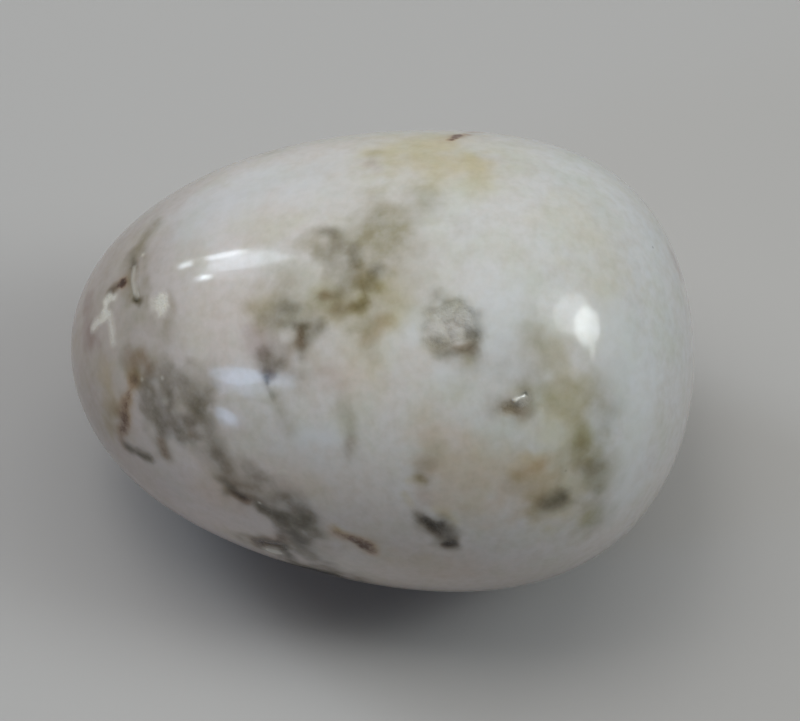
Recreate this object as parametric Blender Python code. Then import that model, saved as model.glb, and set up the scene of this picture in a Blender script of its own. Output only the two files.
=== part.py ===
"""A polished marble egg, lying on its side on the small flat spot ground under its belly.

The egg is one piece of stone, so it is one solid. Its long axis runs along X with the narrow
end at -X, and the origin is the middle of its box, on the surface that it rests on.
"""

import math
from typing import NamedTuple

import bmesh
import bpy
from mathutils import Matrix, Vector, noise

MM = 0.001

# Driving dimensions of the ground shape.
LENGTH = 65.0 * MM
HALF_GIRTH = 23.37 * MM
# Three shape factors of the outline: a wider blunt end, square shoulders and a broad heel.
TAPER = 0.156
SHOULDER = 0.160
HEEL = 0.052
# The stone was ground by hand, so one side of it is a little fuller than the opposite one.
FULLER_SIDE_DEG = -60.0
FULLER_TAPER = -0.011
FULLER_SHOULDER = 0.016
FULLER_HEEL = 0.0735
# Lying at rest, the narrow end hangs lower, with the centre of mass over the flat spot.
NOSE_DROP_DEG = 6.8
FLAT_SPOT_DEPTH = 0.55 * MM


class Hollow(NamedTuple):
    """A natural hollow that the polish left open.

    along is from the middle of the egg's length towards the blunt end, and around is in degrees
    about the long axis, from the top towards -Y. turn_deg is from the length to the girth.
    """

    along: float
    around_deg: float
    half_length: float
    half_width: float
    turn_deg: float
    depth: float
    halvings: int = 2


HOLLOWS = {
    "crystal_pocket": Hollow(11.1 * MM, 22.0, 2.6 * MM, 2.4 * MM, 20.0, 1.25 * MM, halvings=3),
    "brown_dimple": Hollow(17.4 * MM, 39.5, 1.4 * MM, 1.0 * MM, -15.0, 0.55 * MM),
    "dark_slit": Hollow(9.3 * MM, 74.0, 2.6 * MM, 0.9 * MM, 52.0, 0.75 * MM),
    "rough_seam": Hollow(-8.3 * MM, 74.5, 4.6 * MM, 0.9 * MM, 18.0, 0.45 * MM),
    "lower_pit": Hollow(-8.2 * MM, 97.5, 1.6 * MM, 1.0 * MM, -40.0, 0.55 * MM),
    "chalk_pit": Hollow(-19.4 * MM, 17.0, 1.2 * MM, 0.9 * MM, 72.0, 0.40 * MM),
}
# Rounded crystals stand in the pocket, this far apart and this high.
LUMP_SPACING = 1.4 * MM
LUMP_HEIGHT = 0.85 * MM

# Each hollow has the egg's surface made finer in it and for this margin round it.
EGG_SUBDIVISIONS = 5
HOLLOW_MARGIN = 0.8 * MM

STONE_COLOUR = (0.62, 0.60, 0.55, 1.0)
STONE_ROUGHNESS = 0.12


def on_egg(direction):
    """Gives the point of the egg's surface for a point of the unit sphere."""
    along = direction.x
    fuller = math.radians(FULLER_SIDE_DEG)
    side = direction.z * math.cos(fuller) - direction.y * math.sin(fuller)
    swell = (
        1.0
        + (TAPER + FULLER_TAPER * side) * along
        + (SHOULDER + FULLER_SHOULDER * side) * along**2
        + (HEEL + FULLER_HEEL * side) * along**3
    )
    girth = HALF_GIRTH * swell
    return Vector((along * LENGTH / 2, direction.y * girth, direction.z * girth))


def sphere_direction(along, around_deg):
    """Gives the unit sphere's point for a place along and around the egg."""
    share = along / (LENGTH / 2)
    ring = math.sqrt(1.0 - share**2)
    around = math.radians(around_deg)
    return Vector((share, -math.sin(around) * ring, math.cos(around) * ring))


def seat(hollow):
    """Gives a hollow's frame: X along its long side, Y across it and Z out of the stone."""
    step = 0.1 * MM
    step_deg = 0.2
    place = on_egg(sphere_direction(hollow.along, hollow.around_deg))
    lengthwise = on_egg(sphere_direction(hollow.along + step, hollow.around_deg)) - place
    girthwise = on_egg(sphere_direction(hollow.along, hollow.around_deg + step_deg)) - place
    outward = girthwise.cross(lengthwise).normalized()
    long_side = lengthwise.normalized()
    long_side.rotate(Matrix.Rotation(-math.radians(hollow.turn_deg), 3, outward))
    short_side = outward.cross(long_side)
    axes = Matrix((long_side, short_side, outward)).transposed()
    return Matrix.Translation(place) @ axes.to_4x4()


def lump_share(point):
    """Gives the share of the full lump height at a point of the pocket's floor."""
    nearest = noise.voronoi(point / LUMP_SPACING)[0][0]
    lump_radius = 0.7
    return max(0.0, 1.0 - nearest / lump_radius) ** 0.7


def sink_hollow(mesh, name):
    """Presses one hollow into the surface, deepest in its middle and level at its rim."""
    hollow = HOLLOWS[name]
    frame = seat(hollow)
    to_frame = frame.inverted()
    outward = frame.col[2].xyz
    for vert in mesh.verts:
        local = to_frame @ vert.co
        reach = math.hypot(local.x / hollow.half_length, local.y / hollow.half_width)
        if reach >= 1.0 or abs(local.z) > hollow.half_length:
            continue
        bowl = (1.0 - reach**2) ** 0.8
        drop = hollow.depth * bowl
        if name == "crystal_pocket":
            drop -= LUMP_HEIGHT * lump_share(vert.co) * bowl
        vert.co -= outward * drop


def make_finer(mesh, hollow):
    """Halves the edges of the unit sphere's mesh once, in and round one hollow."""
    to_frame = seat(hollow).inverted()
    near = set()
    for vert in mesh.verts:
        local = to_frame @ on_egg(vert.co)
        inside_length = abs(local.x) < hollow.half_length + HOLLOW_MARGIN
        inside_width = abs(local.y) < hollow.half_width + HOLLOW_MARGIN
        if inside_length and inside_width and abs(local.z) < hollow.half_length:
            near.add(vert)
    edges = [edge for edge in mesh.edges if near.intersection(edge.verts)]
    bmesh.ops.subdivide_edges(mesh, edges=edges, cuts=1)
    bmesh.ops.triangulate(mesh, faces=mesh.faces)
    for vert in mesh.verts:
        vert.co.normalize()


def ground_surface():
    """Makes the egg's closed surface before its hollows, with its long axis level."""
    mesh = bmesh.new()
    bmesh.ops.create_icosphere(mesh, subdivisions=EGG_SUBDIVISIONS, radius=1.0)
    for hollow in HOLLOWS.values():
        for _ in range(hollow.halvings):
            make_finer(mesh, hollow)
    for vert in mesh.verts:
        vert.co = on_egg(vert.co)
    return mesh


def grind_flat_spot(mesh):
    """Cuts the lowest part of the belly off level, and closes the cut with one flat face."""
    floor = min(vert.co.z for vert in mesh.verts) + FLAT_SPOT_DEPTH
    bmesh.ops.bisect_plane(
        mesh,
        geom=list(mesh.verts) + list(mesh.edges) + list(mesh.faces),
        dist=1e-6,
        plane_co=(0, 0, floor),
        plane_no=(0, 0, -1),
        clear_outer=True,
    )
    rim = [edge for edge in mesh.edges if edge.is_boundary]
    bmesh.ops.contextual_create(mesh, geom=rim)
    bmesh.ops.recalc_face_normals(mesh, faces=mesh.faces)


def stand_on_origin(mesh):
    """Moves the egg so that the middle of its box's floor is the origin."""
    low = Vector([min(vert.co[axis] for vert in mesh.verts) for axis in range(3)])
    high = Vector([max(vert.co[axis] for vert in mesh.verts) for axis in range(3)])
    middle = (low + high) / 2
    bmesh.ops.translate(mesh, verts=mesh.verts, vec=(-middle.x, -middle.y, -low.z))


def stone_material():
    """Milky polished marble."""
    material = bpy.data.materials.new("polished_stone")
    material.use_nodes = True
    shader = material.node_tree.nodes["Principled BSDF"]
    shader.inputs["Base Color"].default_value = STONE_COLOUR
    shader.inputs["Roughness"].default_value = STONE_ROUGHNESS
    shader.inputs["Metallic"].default_value = 0.0
    return material


def make_egg():
    """Makes the one solid of the object."""
    mesh = ground_surface()
    for name in HOLLOWS:
        sink_hollow(mesh, name)
    nose_down = Matrix.Rotation(-math.radians(NOSE_DROP_DEG), 4, "Y")
    bmesh.ops.transform(mesh, matrix=nose_down, verts=mesh.verts)
    grind_flat_spot(mesh)
    stand_on_origin(mesh)
    data = bpy.data.meshes.new("egg")
    mesh.to_mesh(data)
    mesh.free()
    data.shade_smooth()
    data.set_sharp_from_angle(angle=math.radians(40))
    data.materials.append(stone_material())
    egg = bpy.data.objects.new("egg", data)
    bpy.context.scene.collection.objects.link(egg)
    return egg


for old in list(bpy.data.objects):
    bpy.data.objects.remove(old)
make_egg()
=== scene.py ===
"""The look of a polished marble egg, lying on its side on a plain pale floor."""

import math
from typing import NamedTuple

import bmesh
import bpy
import numpy as np
from mathutils import Matrix, Vector, noise


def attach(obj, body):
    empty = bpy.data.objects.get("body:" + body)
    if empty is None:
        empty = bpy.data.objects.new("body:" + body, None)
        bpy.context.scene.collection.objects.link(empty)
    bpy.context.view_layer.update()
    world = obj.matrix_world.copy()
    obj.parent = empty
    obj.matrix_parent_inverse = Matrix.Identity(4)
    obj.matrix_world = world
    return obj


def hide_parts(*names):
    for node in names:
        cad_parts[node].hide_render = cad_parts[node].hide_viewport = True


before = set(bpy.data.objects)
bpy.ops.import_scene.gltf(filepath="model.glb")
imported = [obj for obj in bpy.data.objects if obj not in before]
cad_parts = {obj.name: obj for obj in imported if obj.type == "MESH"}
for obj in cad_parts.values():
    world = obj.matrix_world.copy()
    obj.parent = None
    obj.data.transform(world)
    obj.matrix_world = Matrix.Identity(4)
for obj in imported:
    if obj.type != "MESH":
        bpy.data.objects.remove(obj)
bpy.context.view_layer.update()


# The camera
# It looks steeply down on the marked side of the egg, from about 0.3 m away, with the narrow
# end of the egg on the left.
CAMERA_AZIMUTH = math.radians(7.55)
CAMERA_ELEVATION = math.radians(60.0)
CAMERA_DISTANCE = 0.300
CAMERA_LENS_MM = 130.16
CAMERA_SENSOR_MM = 36.0
# The egg lies a little left of the picture's middle and a little above it.
FRAMING_RIGHT = 0.00214
FRAMING_DOWN = 0.00037
# The middle of the egg's length, on its long axis.
EGG_MIDDLE = Vector((-0.00006, 0.00001, 0.02266))

toward_camera = Vector((
    math.sin(CAMERA_AZIMUTH) * math.cos(CAMERA_ELEVATION),
    -math.cos(CAMERA_AZIMUTH) * math.cos(CAMERA_ELEVATION),
    math.sin(CAMERA_ELEVATION),
))
picture_right = Vector((math.cos(CAMERA_AZIMUTH), math.sin(CAMERA_AZIMUTH), 0.0))
picture_up = toward_camera.cross(picture_right)

camera_data = bpy.data.cameras.new("camera")
camera_data.sensor_width = CAMERA_SENSOR_MM
camera_data.lens = CAMERA_LENS_MM
camera_data.clip_start = 0.01
camera = bpy.data.objects.new("camera", camera_data)
camera.location = (
    EGG_MIDDLE
    + toward_camera * CAMERA_DISTANCE
    + picture_right * FRAMING_RIGHT
    - picture_up * FRAMING_DOWN
)
camera.rotation_euler = (-toward_camera).to_track_quat("-Z", "Y").to_euler()
bpy.context.scene.collection.objects.link(camera)
bpy.context.scene.camera = camera


# The floor
# A plain pale matt board, much wider than the egg, with nothing on it.
FLOOR_RADIUS = 1.6
FLOOR_COLOUR = (0.52, 0.51, 0.50, 1.0)

floor_mesh = bmesh.new()
bmesh.ops.create_circle(floor_mesh, cap_ends=True, segments=96, radius=FLOOR_RADIUS)
floor_data = bpy.data.meshes.new("floor")
floor_mesh.to_mesh(floor_data)
floor_mesh.free()
floor = bpy.data.objects.new("floor", floor_data)
bpy.context.scene.collection.objects.link(floor)

floor_material = bpy.data.materials.new("pale_board")
floor_material.use_nodes = True
floor_shader = floor_material.node_tree.nodes["Principled BSDF"]
floor_shader.inputs["Base Color"].default_value = FLOOR_COLOUR
floor_shader.inputs["Roughness"].default_value = 0.9
floor_shader.inputs["Specular IOR Level"].default_value = 0.15
floor_data.materials.append(floor_material)


# The studio light
# Two wide soft boxes overhead give the light, and small ones at the sides give the polish its
# highlights. Each is placed as seen in the picture: to the right, up and towards the camera.
LIGHT_DISTANCE = 0.75
ROOM_GLOW = (0.95, 0.97, 1.0, 1.0)
ROOM_STRENGTH = 0.04


def in_picture(right, up, near):
    """Turns a direction in the picture into one in the room."""
    return picture_right * right + picture_up * up + toward_camera * near


def soft_box(name, way, run, wide, high, power, colour, shape="RECTANGLE", glossy=True):
    """Hangs a soft box that faces the egg, with its width along run. Sizes are in metres."""
    back = in_picture(*way).normalized()
    across = in_picture(*run)
    across = (across - back * across.dot(back)).normalized()
    data = bpy.data.lights.new(name, "AREA")
    data.shape = shape
    data.size = wide
    data.size_y = high
    data.energy = power
    data.color = colour
    lamp = bpy.data.objects.new(name, data)
    lamp.location = EGG_MIDDLE + back * LIGHT_DISTANCE
    lamp.rotation_euler = Matrix((across, back.cross(across), back)).transposed().to_euler()
    lamp.visible_glossy = glossy
    bpy.context.scene.collection.objects.link(lamp)


LAMP_WHITE = (1.0, 0.985, 0.95)
DAY_WHITE = (0.94, 1.0, 1.0)
COOL_WHITE = (0.84, 0.95, 1.06)
SILVER_BLUE = (0.80, 0.94, 1.10)
SKY_BLUE = (0.56, 0.80, 1.22)
level_run = (1, 0, 0)
soft_box("overhead", (0.10, 0.62, 0.78), level_run, 0.60, 0.45, 1.50, LAMP_WHITE, glossy=False)
soft_box("overhead_left", (-0.35, 0.60, 0.72), level_run, 0.50, 0.40, 1.63, LAMP_WHITE, glossy=False)
right_run = (0.15, -0.03, -0.25)
soft_box("right", (0.795, 0.24, 0.556), right_run, 0.23, 0.22, 0.79, DAY_WHITE, "ELLIPSE")
soft_box("right_core", (0.780, 0.200, 0.593), right_run, 0.09, 0.08, 0.05, DAY_WHITE, "ELLIPSE")
soft_box("right_tail", (0.842, 0.055, 0.537), right_run, 0.05, 0.09, 0.05, DAY_WHITE, "ELLIPSE")
soft_box("right_veil", (0.68, 0.345, 0.65), right_run, 0.32, 0.24, 0.50, DAY_WHITE, "ELLIPSE")
soft_box("right_haze", (0.60, 0.385, 0.70), right_run, 0.36, 0.30, 0.32, DAY_WHITE, "ELLIPSE")
far_run = (0.225, 0.111, 0.245)
soft_box("far_left", (-0.700, 0.692, 0.187), far_run, 0.14, 0.025, 0.135, COOL_WHITE, "ELLIPSE")
soft_box("far_left_veil", (-0.665, 0.67, 0.31), far_run, 0.27, 0.10, 0.28, SILVER_BLUE, "ELLIPSE")
soft_box("far_left_haze", (-0.655, 0.66, 0.34), far_run, 0.32, 0.20, 0.22, SILVER_BLUE, "ELLIPSE")
soft_box("far_left_end", (-0.79, 0.608, 0.06), far_run, 0.055, 0.017, 0.06, COOL_WHITE)
soft_box("far_left_low", (-0.792, 0.555, 0.250), far_run, 0.04, 0.018, 0.08, COOL_WHITE, "ELLIPSE")
near_run = (0.213, -0.02, 0.255)
soft_box("near_left", (-0.80, -0.16, 0.575), near_run, 0.18, 0.10, 0.18, SKY_BLUE, "ELLIPSE")
soft_box("near_left_end", (-0.69, -0.19, 0.70), near_run, 0.075, 0.08, 0.04, SKY_BLUE)
soft_box("near_left_veil", (-0.79, -0.26, 0.55), near_run, 0.17, 0.10, 0.06, SKY_BLUE, "ELLIPSE")
soft_box("near_left_low", (-0.790, -0.470, 0.391), near_run, 0.05, 0.10, 0.058, SKY_BLUE, "ELLIPSE")

room = bpy.data.worlds.new("room")
room.use_nodes = True
glow = room.node_tree.nodes["Background"]
glow.inputs["Color"].default_value = ROOM_GLOW
glow.inputs["Strength"].default_value = ROOM_STRENGTH
bpy.context.scene.world = room
bpy.context.scene.view_settings.view_transform = "Standard"


# The marble egg
# One stone, ground to an egg by hand and polished. It is milky, with mossy olive clouds, rust
# and ink-dark threads, chalky spots and a few small natural hollows that the polish left open.
MM = 0.001
# Its outline is an ellipse made slimmer or fuller along its length. TAPER, SHOULDER and HEEL go
# with the place along the egg, its square and its cube. The side at FULLER_SIDE round from the
# top adds its own, and is a little fuller towards the blunt end.
LENGTH = 65.0 * MM
HALF_GIRTH = 23.37 * MM
TAPER = 0.156
SHOULDER = 0.160
HEEL = 0.052
FULLER_SIDE = math.radians(-60.0)
FULLER_TAPER = -0.011
FULLER_SHOULDER = 0.016
FULLER_HEEL = 0.0735
# It lies with its narrow end a little lower, on a small flat ground under its belly.
NOSE_DROP = math.radians(6.8)
FLAT_SPOT_DEPTH = 0.55 * MM
FLAT_SPOT_TOLERANCE = 1e-6


class Mark(NamedTuple):
    """A spot or a streak in the stone, in mm and degrees.

    It runs through places given as (along the egg from its middle, round it from the top towards
    the viewer). Its cover falls from full to nothing over fade, half of it outside half_width.
    """

    run: tuple
    half_width: float
    fade: float
    strength: float = 1.0


# Olive-grey haze, thin and soft-edged.
HAZE = (
    # By the narrow end.
    Mark(((-21.8, -17), (-22.6, -12), (-23.0, -7)), 0.8, 2.0, 0.75),
    Mark(((-23.4, -7), (-23.3, -1.5), (-22.9, 1)), 0.7, 1.8, 0.85),
    Mark(((-22.3, -5), (-21.8, 1), (-21.2, 9), (-20.5, 12)), 0.4, 1.5, 0.55),
    Mark(((-23.6, 2), (-23.3, 7), (-22.8, 12)), 0.2, 0.7, 0.5),
    Mark(((-20.8, 14), (-20.7, 18)), 0.3, 1.0, 0.45),
    Mark(((-18.2, 14), (-17.8, 19.5), (-18.3, 26)), 0.5, 1.6, 0.45),
    Mark(((-23.8, -2), (-23.3, 5), (-22.6, 12)), 1.0, 2.2, 0.5),
    Mark(((-21.6, 20), (-20.0, 22), (-18.6, 25)), 1.5, 3.2, 0.3),
    Mark(((-22.8, 36), (-21.5, 35), (-20.0, 35.5)), 0.9, 1.9, 0.55),
    Mark(((-24.3, 57), (-25.3, 62), (-25.2, 68)), 0.8, 2.0, 0.45),
    # Round the mossy cloud, and the band from it down to the lower edge.
    Mark(((-18.8, 40), (-17.0, 48), (-15.0, 42)), 2.6, 3.4, 0.5),
    Mark(((-13.6, 50), (-12.2, 60), (-10.4, 67), (-7.4, 70)), 1.7, 3.4, 0.45),
    # The cloud in the middle and the haze above it.
    Mark(((3.4, -5), (5.4, 4), (5.0, 12)), 3.5, 7.0, 0.35),
    Mark(((-6.0, 13), (-3.4, 17), (-3.4, 26)), 2.5, 6.0, 0.3),
    Mark(((0.9, 4.5), (0.4, 9), (1.2, 14.5)), 2.0, 5.0, 0.8),
    Mark(((-0.4, 7), (-1.8, 10), (-0.9, 13.5)), 1.0, 3.0, 0.5),
    Mark(((0.6, 16.6), (0.9, 17.4)), 0.6, 1.8, 0.5),
    Mark(((-3.0, 20), (-2.6, 24)), 0.8, 2.4, 0.45),
    Mark(((3.0, 17.5), (3.6, 20)), 0.7, 2.4, 0.6),
    Mark(((-1.0, 7), (-0.7, 11), (0.0, 14.5)), 1.4, 3.0, 0.5),
    Mark(((-6.3, 8), (-4.5, 13.5), (-6.3, 17.5)), 1.6, 3.5, 0.2),
    Mark(((-7.4, 19.5), (-5.6, 22), (-3.4, 23.5)), 1.5, 4.0, 0.65),
    Mark(((-4.7, 2.4), (-3.4, 1.0), (-2.5, -0.2)), 0.55, 1.8, 0.6),
    Mark(((-2.2, 16.8), (-0.4, 18.4), (1.6, 17.0)), 1.2, 3.4, 0.34),
    Mark(((3.0, 24.5), (3.3, 28)), 0.9, 2.2, 0.6),
    Mark(((3.6, -5), (4.3, 0), (4.1, 3.8)), 0.9, 4.2, 0.75),
    Mark(((4.0, -6), (5.4, -3), (4.6, 4)), 0.9, 4.8, 0.55),
    Mark(((3.2, 5), (4.3, 1), (5.0, -5), (6.2, -10)), 1.2, 3.8, 0.55),
    # At the top edge.
    Mark(((0.7, -25), (0.3, -30)), 0.4, 1.6, 0.35),
    Mark(((11.0, -30),), 0.4, 1.4, 0.4),
    # Round the crystal pocket.
    Mark(((10.8, 22.0),), 2.0, 1.8, 0.3),
    Mark(((10.2, 16.2), (11.8, 16.5)), 0.3, 1.2, 0.5),
    Mark(((9.1, 15), (8.9, 20.5)), 0.3, 1.4, 0.4),
    Mark(((9.6, 26.8), (11.2, 28.4), (12.4, 29.0), (13.2, 30.5)), 0.8, 2.4, 0.55),
    # The cloud by the blunt end.
    Mark(((19.0, 23), (19.5, 30), (19.7, 36)), 1.2, 4.2, 0.7),
    Mark(((21.6, 41), (22.8, 46), (23.6, 53)), 0.8, 4.2, 0.3),
    Mark(((24.6, 38.5), (25.7, 43), (25.2, 50)), 1.6, 4.6, 0.7),
    Mark(((23.4, 58), (25.4, 63), (25.0, 72), (24.4, 84)), 1.6, 5.0, 0.75),
    Mark(((19.4, 69.5), (21.5, 68)), 1.2, 2.6, 0.5),
    # Streaks and stains between the clouds.
    Mark(((-6.4, 41), (-5.3, 46), (-4.6, 49.5)), 0.5, 1.7, 0.5),
    Mark(((-11.2, 44.5), (-8.9, 43), (-6.1, 43)), 0.15, 0.7, 0.2),
    Mark(((0.6, 41), (1.4, 45.5), (1.6, 50), (1.3, 56)), 0.5, 1.7, 0.55),
    Mark(((9.7, 51), (9.0, 54), (8.3, 57)), 0.7, 2.2, 0.45),
    Mark(((16.8, 62), (18.8, 64)), 0.9, 2.4, 0.35),
    # The far side and underneath.
    Mark(((-13.0, -55), (-8.0, -70), (-1.0, -80), (3.0, -92)), 3.0, 4.5, 0.7),
    Mark(((-16.0, -80), (-10.0, -98)), 1.9, 3.6, 0.5),
    Mark(((22.0, -85), (25.5, -100), (24.0, -118)), 2.0, 4.0, 0.6),
    Mark(((-8.0, 118), (-3.0, 126), (5.0, 132)), 2.0, 3.6, 0.7),
    Mark(((14.0, 148), (20.0, 158)), 2.2, 4.2, 0.5),
    Mark(((-20.0, 150), (-17.0, 172), (-12.0, 190)), 2.0, 4.0, 0.6),
)
# Smoke-grey clouds.
SMOKE = (
    # By the narrow end.
    Mark(((-23.3, -2), (-22.9, 1)), 0.4, 1.2, 0.5),
    Mark(((-25.7, 8.2), (-24.8, 7.2)), 0.5, 1.0, 0.85),
    # Beside the arc of rust down the narrow end, and the dark line below it.
    Mark(((-21.0, 46), (-21.2, 50)), 0.5, 1.7, 0.45),
    Mark(((-21.4, 43), (-22.0, 47), (-22.6, 53)), 0.6, 1.6, 0.15),
    Mark(((-23.1, 56), (-23.5, 62), (-24.1, 71)), 0.7, 1.6, 0.35),
    Mark(((-23.6, 71.6), (-22.6, 72.6), (-21.6, 72.2), (-20.6, 72.0)), 0.5, 1.4, 0.9),
    # The mossy cloud.
    Mark(((-19.4, 45), (-16.8, 41.6), (-15.2, 44)), 2.0, 3.2, 0.6),
    Mark(((-19.0, 51), (-16.8, 54)), 2.0, 3.0, 0.6),
    Mark(((-16.4, 57), (-14.8, 60), (-13.4, 62)), 0.7, 2.0, 0.5),
    Mark(((-17.6, 45), (-17.1, 43.5)), 0.6, 1.5, 0.4),
    Mark(((-19.5, 47), (-19.4, 50)), 0.5, 1.5, 0.3),
    Mark(((-18.0, 54), (-16.6, 56), (-15.2, 56.5)), 0.6, 1.6, 0.65),
    Mark(((-18.6, 56), (-18.8, 61), (-18.5, 67)), 0.6, 1.7, 0.65),
    Mark(((-17.4, 50), (-17.2, 54)), 0.4, 1.6, 0.35),
    # The band from it down to the lower edge.
    Mark(((-14.0, 47), (-13.2, 55), (-12.2, 62), (-10.8, 68)), 1.0, 2.6, 0.55),
    Mark(((-8.8, 64), (-7.9, 66)), 1.0, 2.0, 0.65),
    Mark(((-10.9, 72.4), (-9.8, 73.8), (-8.3, 75.4), (-6.8, 77), (-4.4, 78.6)), 1.1, 2.0, 0.95),
    Mark(((-9.0, 71), (-6.0, 73)), 1.0, 2.2, 0.4),
    Mark(((-5.4, 70), (-4.1, 72), (-3.5, 75), (-3.3, 80)), 1.2, 2.0, 0.85),
    Mark(((-5.4, 82), (-4.6, 92)), 1.9, 2.4, 1.0),
    Mark(((-9.8, 95.5), (-8.4, 93), (-6.6, 90)), 1.6, 2.0, 1.0),
    Mark(((-6.8, 90), (-6.9, 104)), 1.1, 1.6, 1.0),
    Mark(((-6.4, 113), (-4.6, 111), (-2.6, 104)), 3.0, 3.4, 1.0),
    # In the middle cloud.
    Mark(((-2.6, -0.8), (-1.9, -0.8)), 0.3, 1.1, 0.55),
    Mark(((-1.2, 0.5), (-0.3, 4), (0.3, 8)), 0.5, 2.0, 0.45),
    Mark(((0.7, 5.5), (1.1, 8.4), (1.7, 11.7)), 0.45, 1.6, 0.35),
    Mark(((1.6, 11.5), (2.0, 14.8), (1.7, 17)), 0.5, 1.8, 0.6),
    Mark(((-0.6, 8), (0.5, 12), (0.4, 15)), 1.5, 3.0, 0.38),
    Mark(((2.7, 10.6), (3.3, 9.4)), 0.6, 1.4, 0.75),
    Mark(((-2.1, 16.6), (-1.2, 16.2)), 0.5, 1.5, 0.5),
    Mark(((-1.0, 20), (0.2, 20.2)), 0.4, 1.4, 0.25),
    Mark(((-5.8, 19.4), (-4.7, 19.6)), 0.55, 1.6, 0.65),
    Mark(((-7.9, 21.5), (-6.9, 22.5), (-5.4, 23.5)), 0.5, 2.0, 0.45),
    Mark(((-4.3, 24), (-3.4, 23.8)), 0.35, 1.2, 0.45),
    Mark(((-3.7, 25), (-3.6, 28.5), (-3.6, 31.5)), 0.3, 1.2, 0.65),
    Mark(((-3.2, 27), (-2.4, 24.8), (-1.8, 24)), 0.6, 1.7, 0.6),
    # The pointed mark below it.
    Mark(((-7.2, 32.2), (-6.8, 35.4)), 0.6, 1.8, 0.75),
    Mark(((-6.5, 28.5), (-6.2, 31)), 0.5, 2.2, 0.4),
    Mark(((-4.4, 35), (-2.6, 35.5)), 0.3, 2.2, 0.25),
    Mark(((-6.9, 36), (-5.6, 33)), 0.35, 1.3, 0.45),
    Mark(((-7.0, 37.5), (-6.9, 39), (-6.4, 41.5)), 0.2, 0.9, 0.65),
    # Round the pocket, and the veil between it and the dimple.
    Mark(((10.4, 28.2), (11.4, 28.4)), 0.6, 2.2, 0.3),
    Mark(((11.2, 27.8), (12.6, 27.6)), 0.9, 2.0, 0.85),
    Mark(((13.4, 29), (15.5, 30), (18.4, 31.5)), 1.0, 6.0, 0.3),
    # This smoke is a brown stain at the pocket's lower right and painted shade up its right rim.
    Mark(((12.6, 26.8), (13.2, 24.5), (13.3, 19.6)), 0.6, 1.6, 0.65),
    Mark(((9.2, 15.6), (10.0, 16.4)), 0.6, 1.6, 0.5),
    # Round the dimple and the slit.
    Mark(((16.1, 41.2), (17.2, 42.4), (18.4, 41.4)), 0.9, 2.1, 0.6),
    # This smoke darkens the dimple's lit far wall: painted shade.
    Mark(((17.6, 41.2), (18.3, 40.4)), 0.4, 1.2, 0.6),
    Mark(((8.65, 71.5), (9.3, 73.6), (9.8, 76), (10.2, 78), (10.7, 79.4)), 1.0, 1.9, 0.85),
    Mark(((10.2, 72.2), (11.0, 75.4)), 0.9, 1.8, 0.8),
    # By the blunt end.
    Mark(((20.4, 69.4), (21.7, 67.4)), 0.8, 1.7, 0.7),
    Mark(((21.9, 69.4), (22.8, 71.4)), 0.5, 2.0, 0.45),
    Mark(((23.6, 60.4), (25.3, 62)), 0.6, 2.0, 0.38),
    Mark(((24.3, 63), (24.8, 70)), 0.6, 2.0, 0.35),
    Mark(((22.9, 51.5), (23.7, 53.5)), 0.6, 1.8, 0.2),
    # The far side and underneath.
    Mark(((-11.0, -60), (-7.0, -70), (-3.0, -76)), 1.0, 2.4, 0.7),
    Mark(((24.5, -96), (25.0, -104)), 0.8, 2.0, 0.7),
    Mark(((-2.0, 128), (3.0, 132)), 1.0, 2.2, 0.7),
    Mark(((-18.0, 165), (-15.5, 178)), 0.9, 2.0, 0.6),
)
# Dark green-grey moss.
MOSS = (
    # By the narrow end, and the dark line below the arc of rust.
    Mark(((-23.6, -4), (-23.2, -1)), 0.25, 1.0, 0.45),
    Mark(((-22.2, 14.3), (-21.7, 15.5)), 0.4, 0.8, 0.9),
    Mark(((-23.0, 72.4), (-21.4, 72.3), (-20.6, 72.0)), 0.42, 1.0, 0.85),
    # In the mossy cloud, the band from it, the rough seam and the lower edge.
    Mark(((-17.4, 45),), 0.3, 1.1, 0.35),
    Mark(((-12.5, 60), (-11.9, 64)), 0.3, 1.3, 0.35),
    Mark(((-11.6, 71.8), (-10.4, 73.2)), 0.6, 1.3, 0.75),
    Mark(((-8.6, 75), (-6.8, 76.6)), 0.8, 1.6, 0.6),
    Mark(((-6.0, 77.4), (-4.4, 78.2)), 0.8, 1.6, 0.75),
    Mark(((-4.0, 73), (-3.5, 76)), 0.4, 1.3, 0.45),
    Mark(((-6.6, 91), (-6.8, 99)), 0.5, 1.0, 0.6),
    Mark(((-5.4, 84), (-4.6, 87)), 0.6, 1.4, 0.6),
    Mark(((-5.0, 112), (-2.8, 108)), 2.0, 2.4, 1.0),
    # In the middle cloud.
    Mark(((1.6, 12.5), (1.9, 15)), 0.35, 1.3, 0.4),
    Mark(((2.1, 14.2), (2.4, 15.8), (2.4, 17.4)), 0.75, 1.5, 0.75),
    Mark(((-4.4, 23.8), (-3.2, 23.8)), 0.2, 0.9, 0.4),
    # In the pocket, the peach patch, the slit and the dimple, and by the blunt end.
    Mark(((11.7, 27.7), (12.8, 27.2)), 0.4, 1.3, 0.6),
    Mark(((8.3, 59), (8.8, 59.8)), 0.35, 1.0, 0.45),
    Mark(((8.9, 72.4), (9.6, 75.2), (10.4, 78.4)), 0.9, 1.8, 0.5),
    Mark(((16.5, 41.2), (17.5, 41.7)), 0.35, 1.2, 0.4),
    Mark(((20.6, 69.0), (21.5, 67.6)), 0.4, 1.2, 0.5),
    Mark(((22.0, 59.5),), 0.12, 0.3, 0.6),
    # The far side and underneath.
    Mark(((-9.0, -66), (-6.0, -71)), 0.6, 1.4, 0.6),
    Mark(((-2.0, -82), (1.0, -84)), 0.8, 1.6, 0.7),
    Mark(((-13.5, -84),), 0.5, 1.2, 0.6),
    Mark(((24.6, -98), (24.8, -102)), 0.4, 1.2, 0.6),
    Mark(((-1.0, 129),), 0.6, 1.4, 0.6),
)
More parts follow.
